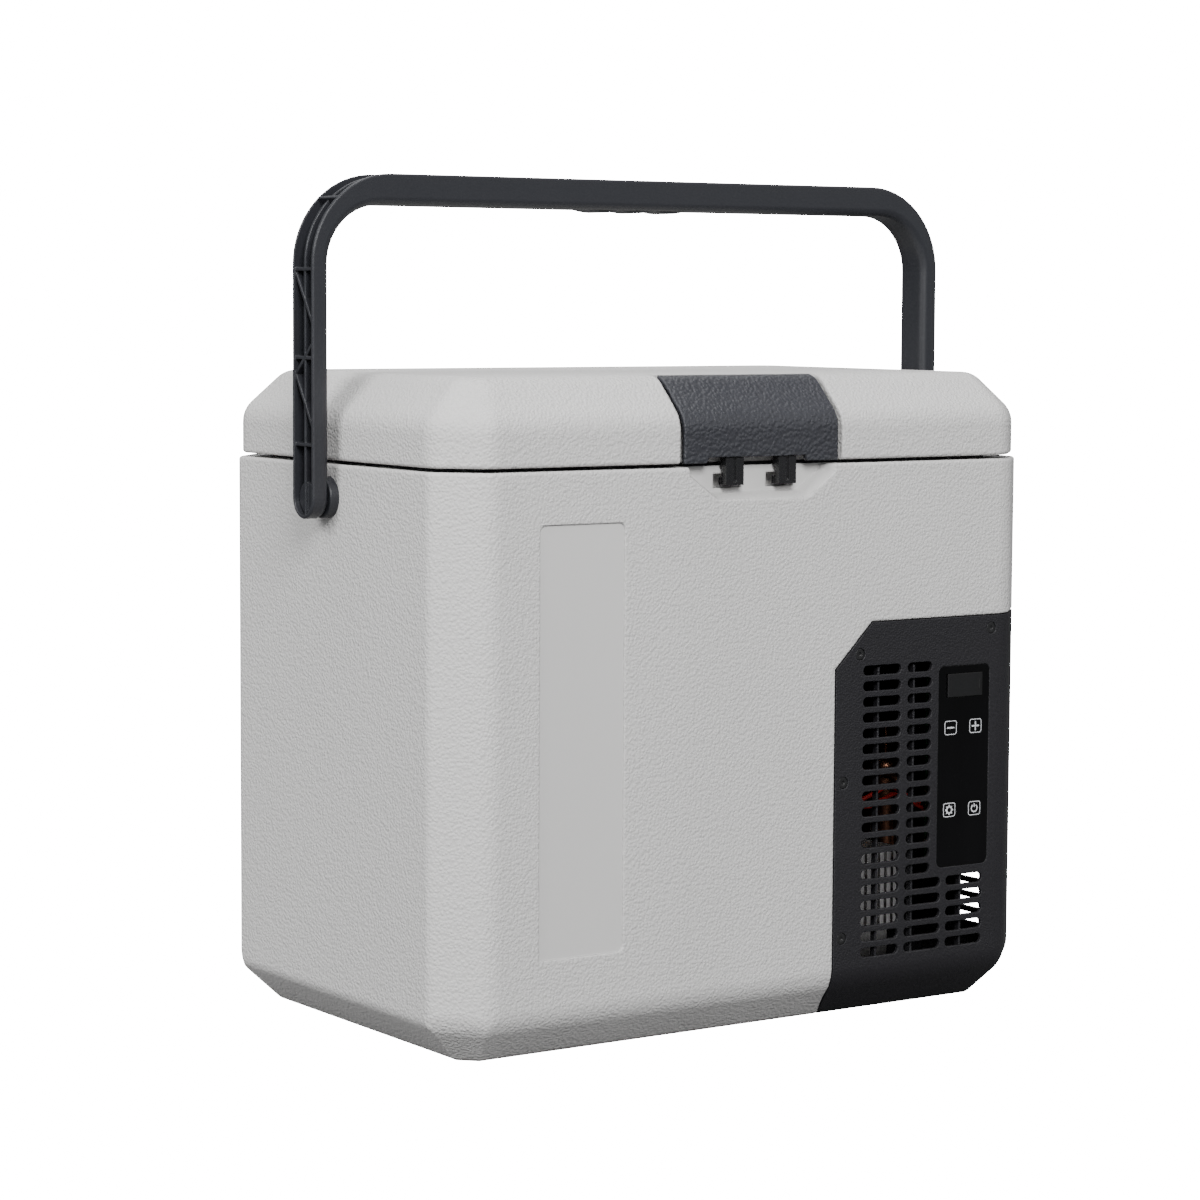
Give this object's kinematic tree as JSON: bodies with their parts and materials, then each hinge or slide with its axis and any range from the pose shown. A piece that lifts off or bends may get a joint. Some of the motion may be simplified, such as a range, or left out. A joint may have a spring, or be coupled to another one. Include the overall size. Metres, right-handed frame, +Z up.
{
  "type": "compressor cooler fridge",
  "caption": "Portable compressor fridge with a hinged lid, a front latch, a swinging carry handle and a vented machine bay with a control panel.",
  "frame": {"origin": "middle of the whole footprint, hinge barrels included, on the floor", "axes": "+X to the right along the front, +Y to the back, +Z up"},
  "size_m": [0.454, 0.2768, 0.4995],
  "materials": {
    "shell_grey": "matte",
    "liner_white": "satin",
    "foam": "matte",
    "dark_plastic": "matte",
    "latch_plastic": "matte",
    "handle_plastic": "satin",
    "panel_gloss": "gloss",
    "key_gloss": "gloss",
    "screw_steel": "satin",
    "zinc_steel": "satin",
    "compressor_black": "satin",
    "rubber_black": "matte",
    "gasket_grey": "matte",
    "copper": "satin",
    "aluminium": "satin",
    "board_green": "satin",
    "wire_red": "satin",
    "connector_white": "satin"
  },
  "bodies": {
    "cabinet": {"outer_shell": "shell_grey", "inner_liner": "liner_white", "foam_insulation": "foam", "machine_cover": "dark_plastic", "screw_bosses": "dark_plastic", "latch_keeper": "dark_plastic", "panel_carrier": "dark_plastic", "power_inlet": "dark_plastic", "fan_housing": "dark_plastic", "cover_screws": "screw_steel", "pivot_screws": "zinc_steel", "hinge_body_screws": "screw_steel", "base_plate": "zinc_steel", "condenser_bracket": "zinc_steel", "compressor": "compressor_black", "compressor_grommets": "rubber_black", "compressor_bolts": "zinc_steel", "condenser_tube": "copper", "discharge_line": "copper", "suction_line": "copper", "filter_drier": "copper", "evaporator_tube": "aluminium", "condenser_fins": "aluminium", "temperature_sensor": "connector_white", "driver_board": "board_green", "control_board": "board_green", "driver_heat_sink": "aluminium", "control_panel": "panel_gloss", "display": "panel_gloss", "usb_socket": "connector_white", "wire_harness": "wire_red", "wire_connector": "connector_white", "feet": "rubber_black", "handle_pivots": "handle_plastic", "hinge_body_halves": "dark_plastic", "hinge_pins": "zinc_steel"},
    "lid": {"lid_outer": "shell_grey", "lid_inner": "liner_white", "lid_foam": "foam", "lid_gasket": "gasket_grey", "latch_pin": "zinc_steel", "latch_spring": "zinc_steel", "hinge_lid_halves": "dark_plastic", "hinge_lid_screws": "screw_steel"},
    "latch": {"latch_cover": "latch_plastic", "latch_hooks": "latch_plastic"},
    "handle": {"handle": "handle_plastic"},
    "fan": {"fan_rotor": "dark_plastic"},
    "usb_door": {"usb_door": "rubber_black"},
    "key_minus": {"key_minus": "key_gloss"},
    "key_plus": {"key_plus": "key_gloss"},
    "key_settings": {"key_settings": "key_gloss"},
    "key_power": {"key_power": "key_gloss"}
  },
  "joints": [
    {"name": "lid_hinge", "type": "hinge", "parent": "cabinet", "child": "lid", "pos_m": [0, 0.13445, 0.3355], "axis": [-1, 0, 0], "range_deg": [0, 28]},
    {"name": "latch_lever", "type": "hinge", "parent": "lid", "child": "latch", "pos_m": [0, -0.11105, 0.379], "axis": [-1, 0, 0], "range_deg": [0, 18], "stiffness_Nm_per_rad": 0.3},
    {"name": "handle_swing", "type": "hinge", "parent": "cabinet", "child": "handle", "pos_m": [0, -0.00405, 0.3155], "axis": [1, 0, 0], "range_deg": [-120, 120]},
    {"name": "fan_spin", "type": "hinge", "parent": "cabinet", "child": "fan", "pos_m": [0.092, -0.05305, 0.076], "axis": [0, 1, 0], "continuous": true},
    {"name": "usb_door_hinge", "type": "hinge", "parent": "cabinet", "child": "usb_door", "pos_m": [0.1399, -0.13735, 0.199], "axis": [0, 0, -1], "range_deg": [0, 100], "stiffness_Nm_per_rad": 0.002},
    {"name": "key_minus_press", "type": "slide", "parent": "cabinet", "child": "key_minus", "axis": [0, 1, 0], "range_m": [0, 0.0005], "stiffness_N_per_m": 400},
    {"name": "key_plus_press", "type": "slide", "parent": "cabinet", "child": "key_plus", "axis": [0, 1, 0], "range_m": [0, 0.0005], "stiffness_N_per_m": 400},
    {"name": "key_settings_press", "type": "slide", "parent": "cabinet", "child": "key_settings", "axis": [0, 1, 0], "range_m": [0, 0.0005], "stiffness_N_per_m": 400},
    {"name": "key_power_press", "type": "slide", "parent": "cabinet", "child": "key_power", "axis": [0, 1, 0], "range_m": [0, 0.0005], "stiffness_N_per_m": 400}
  ]
}
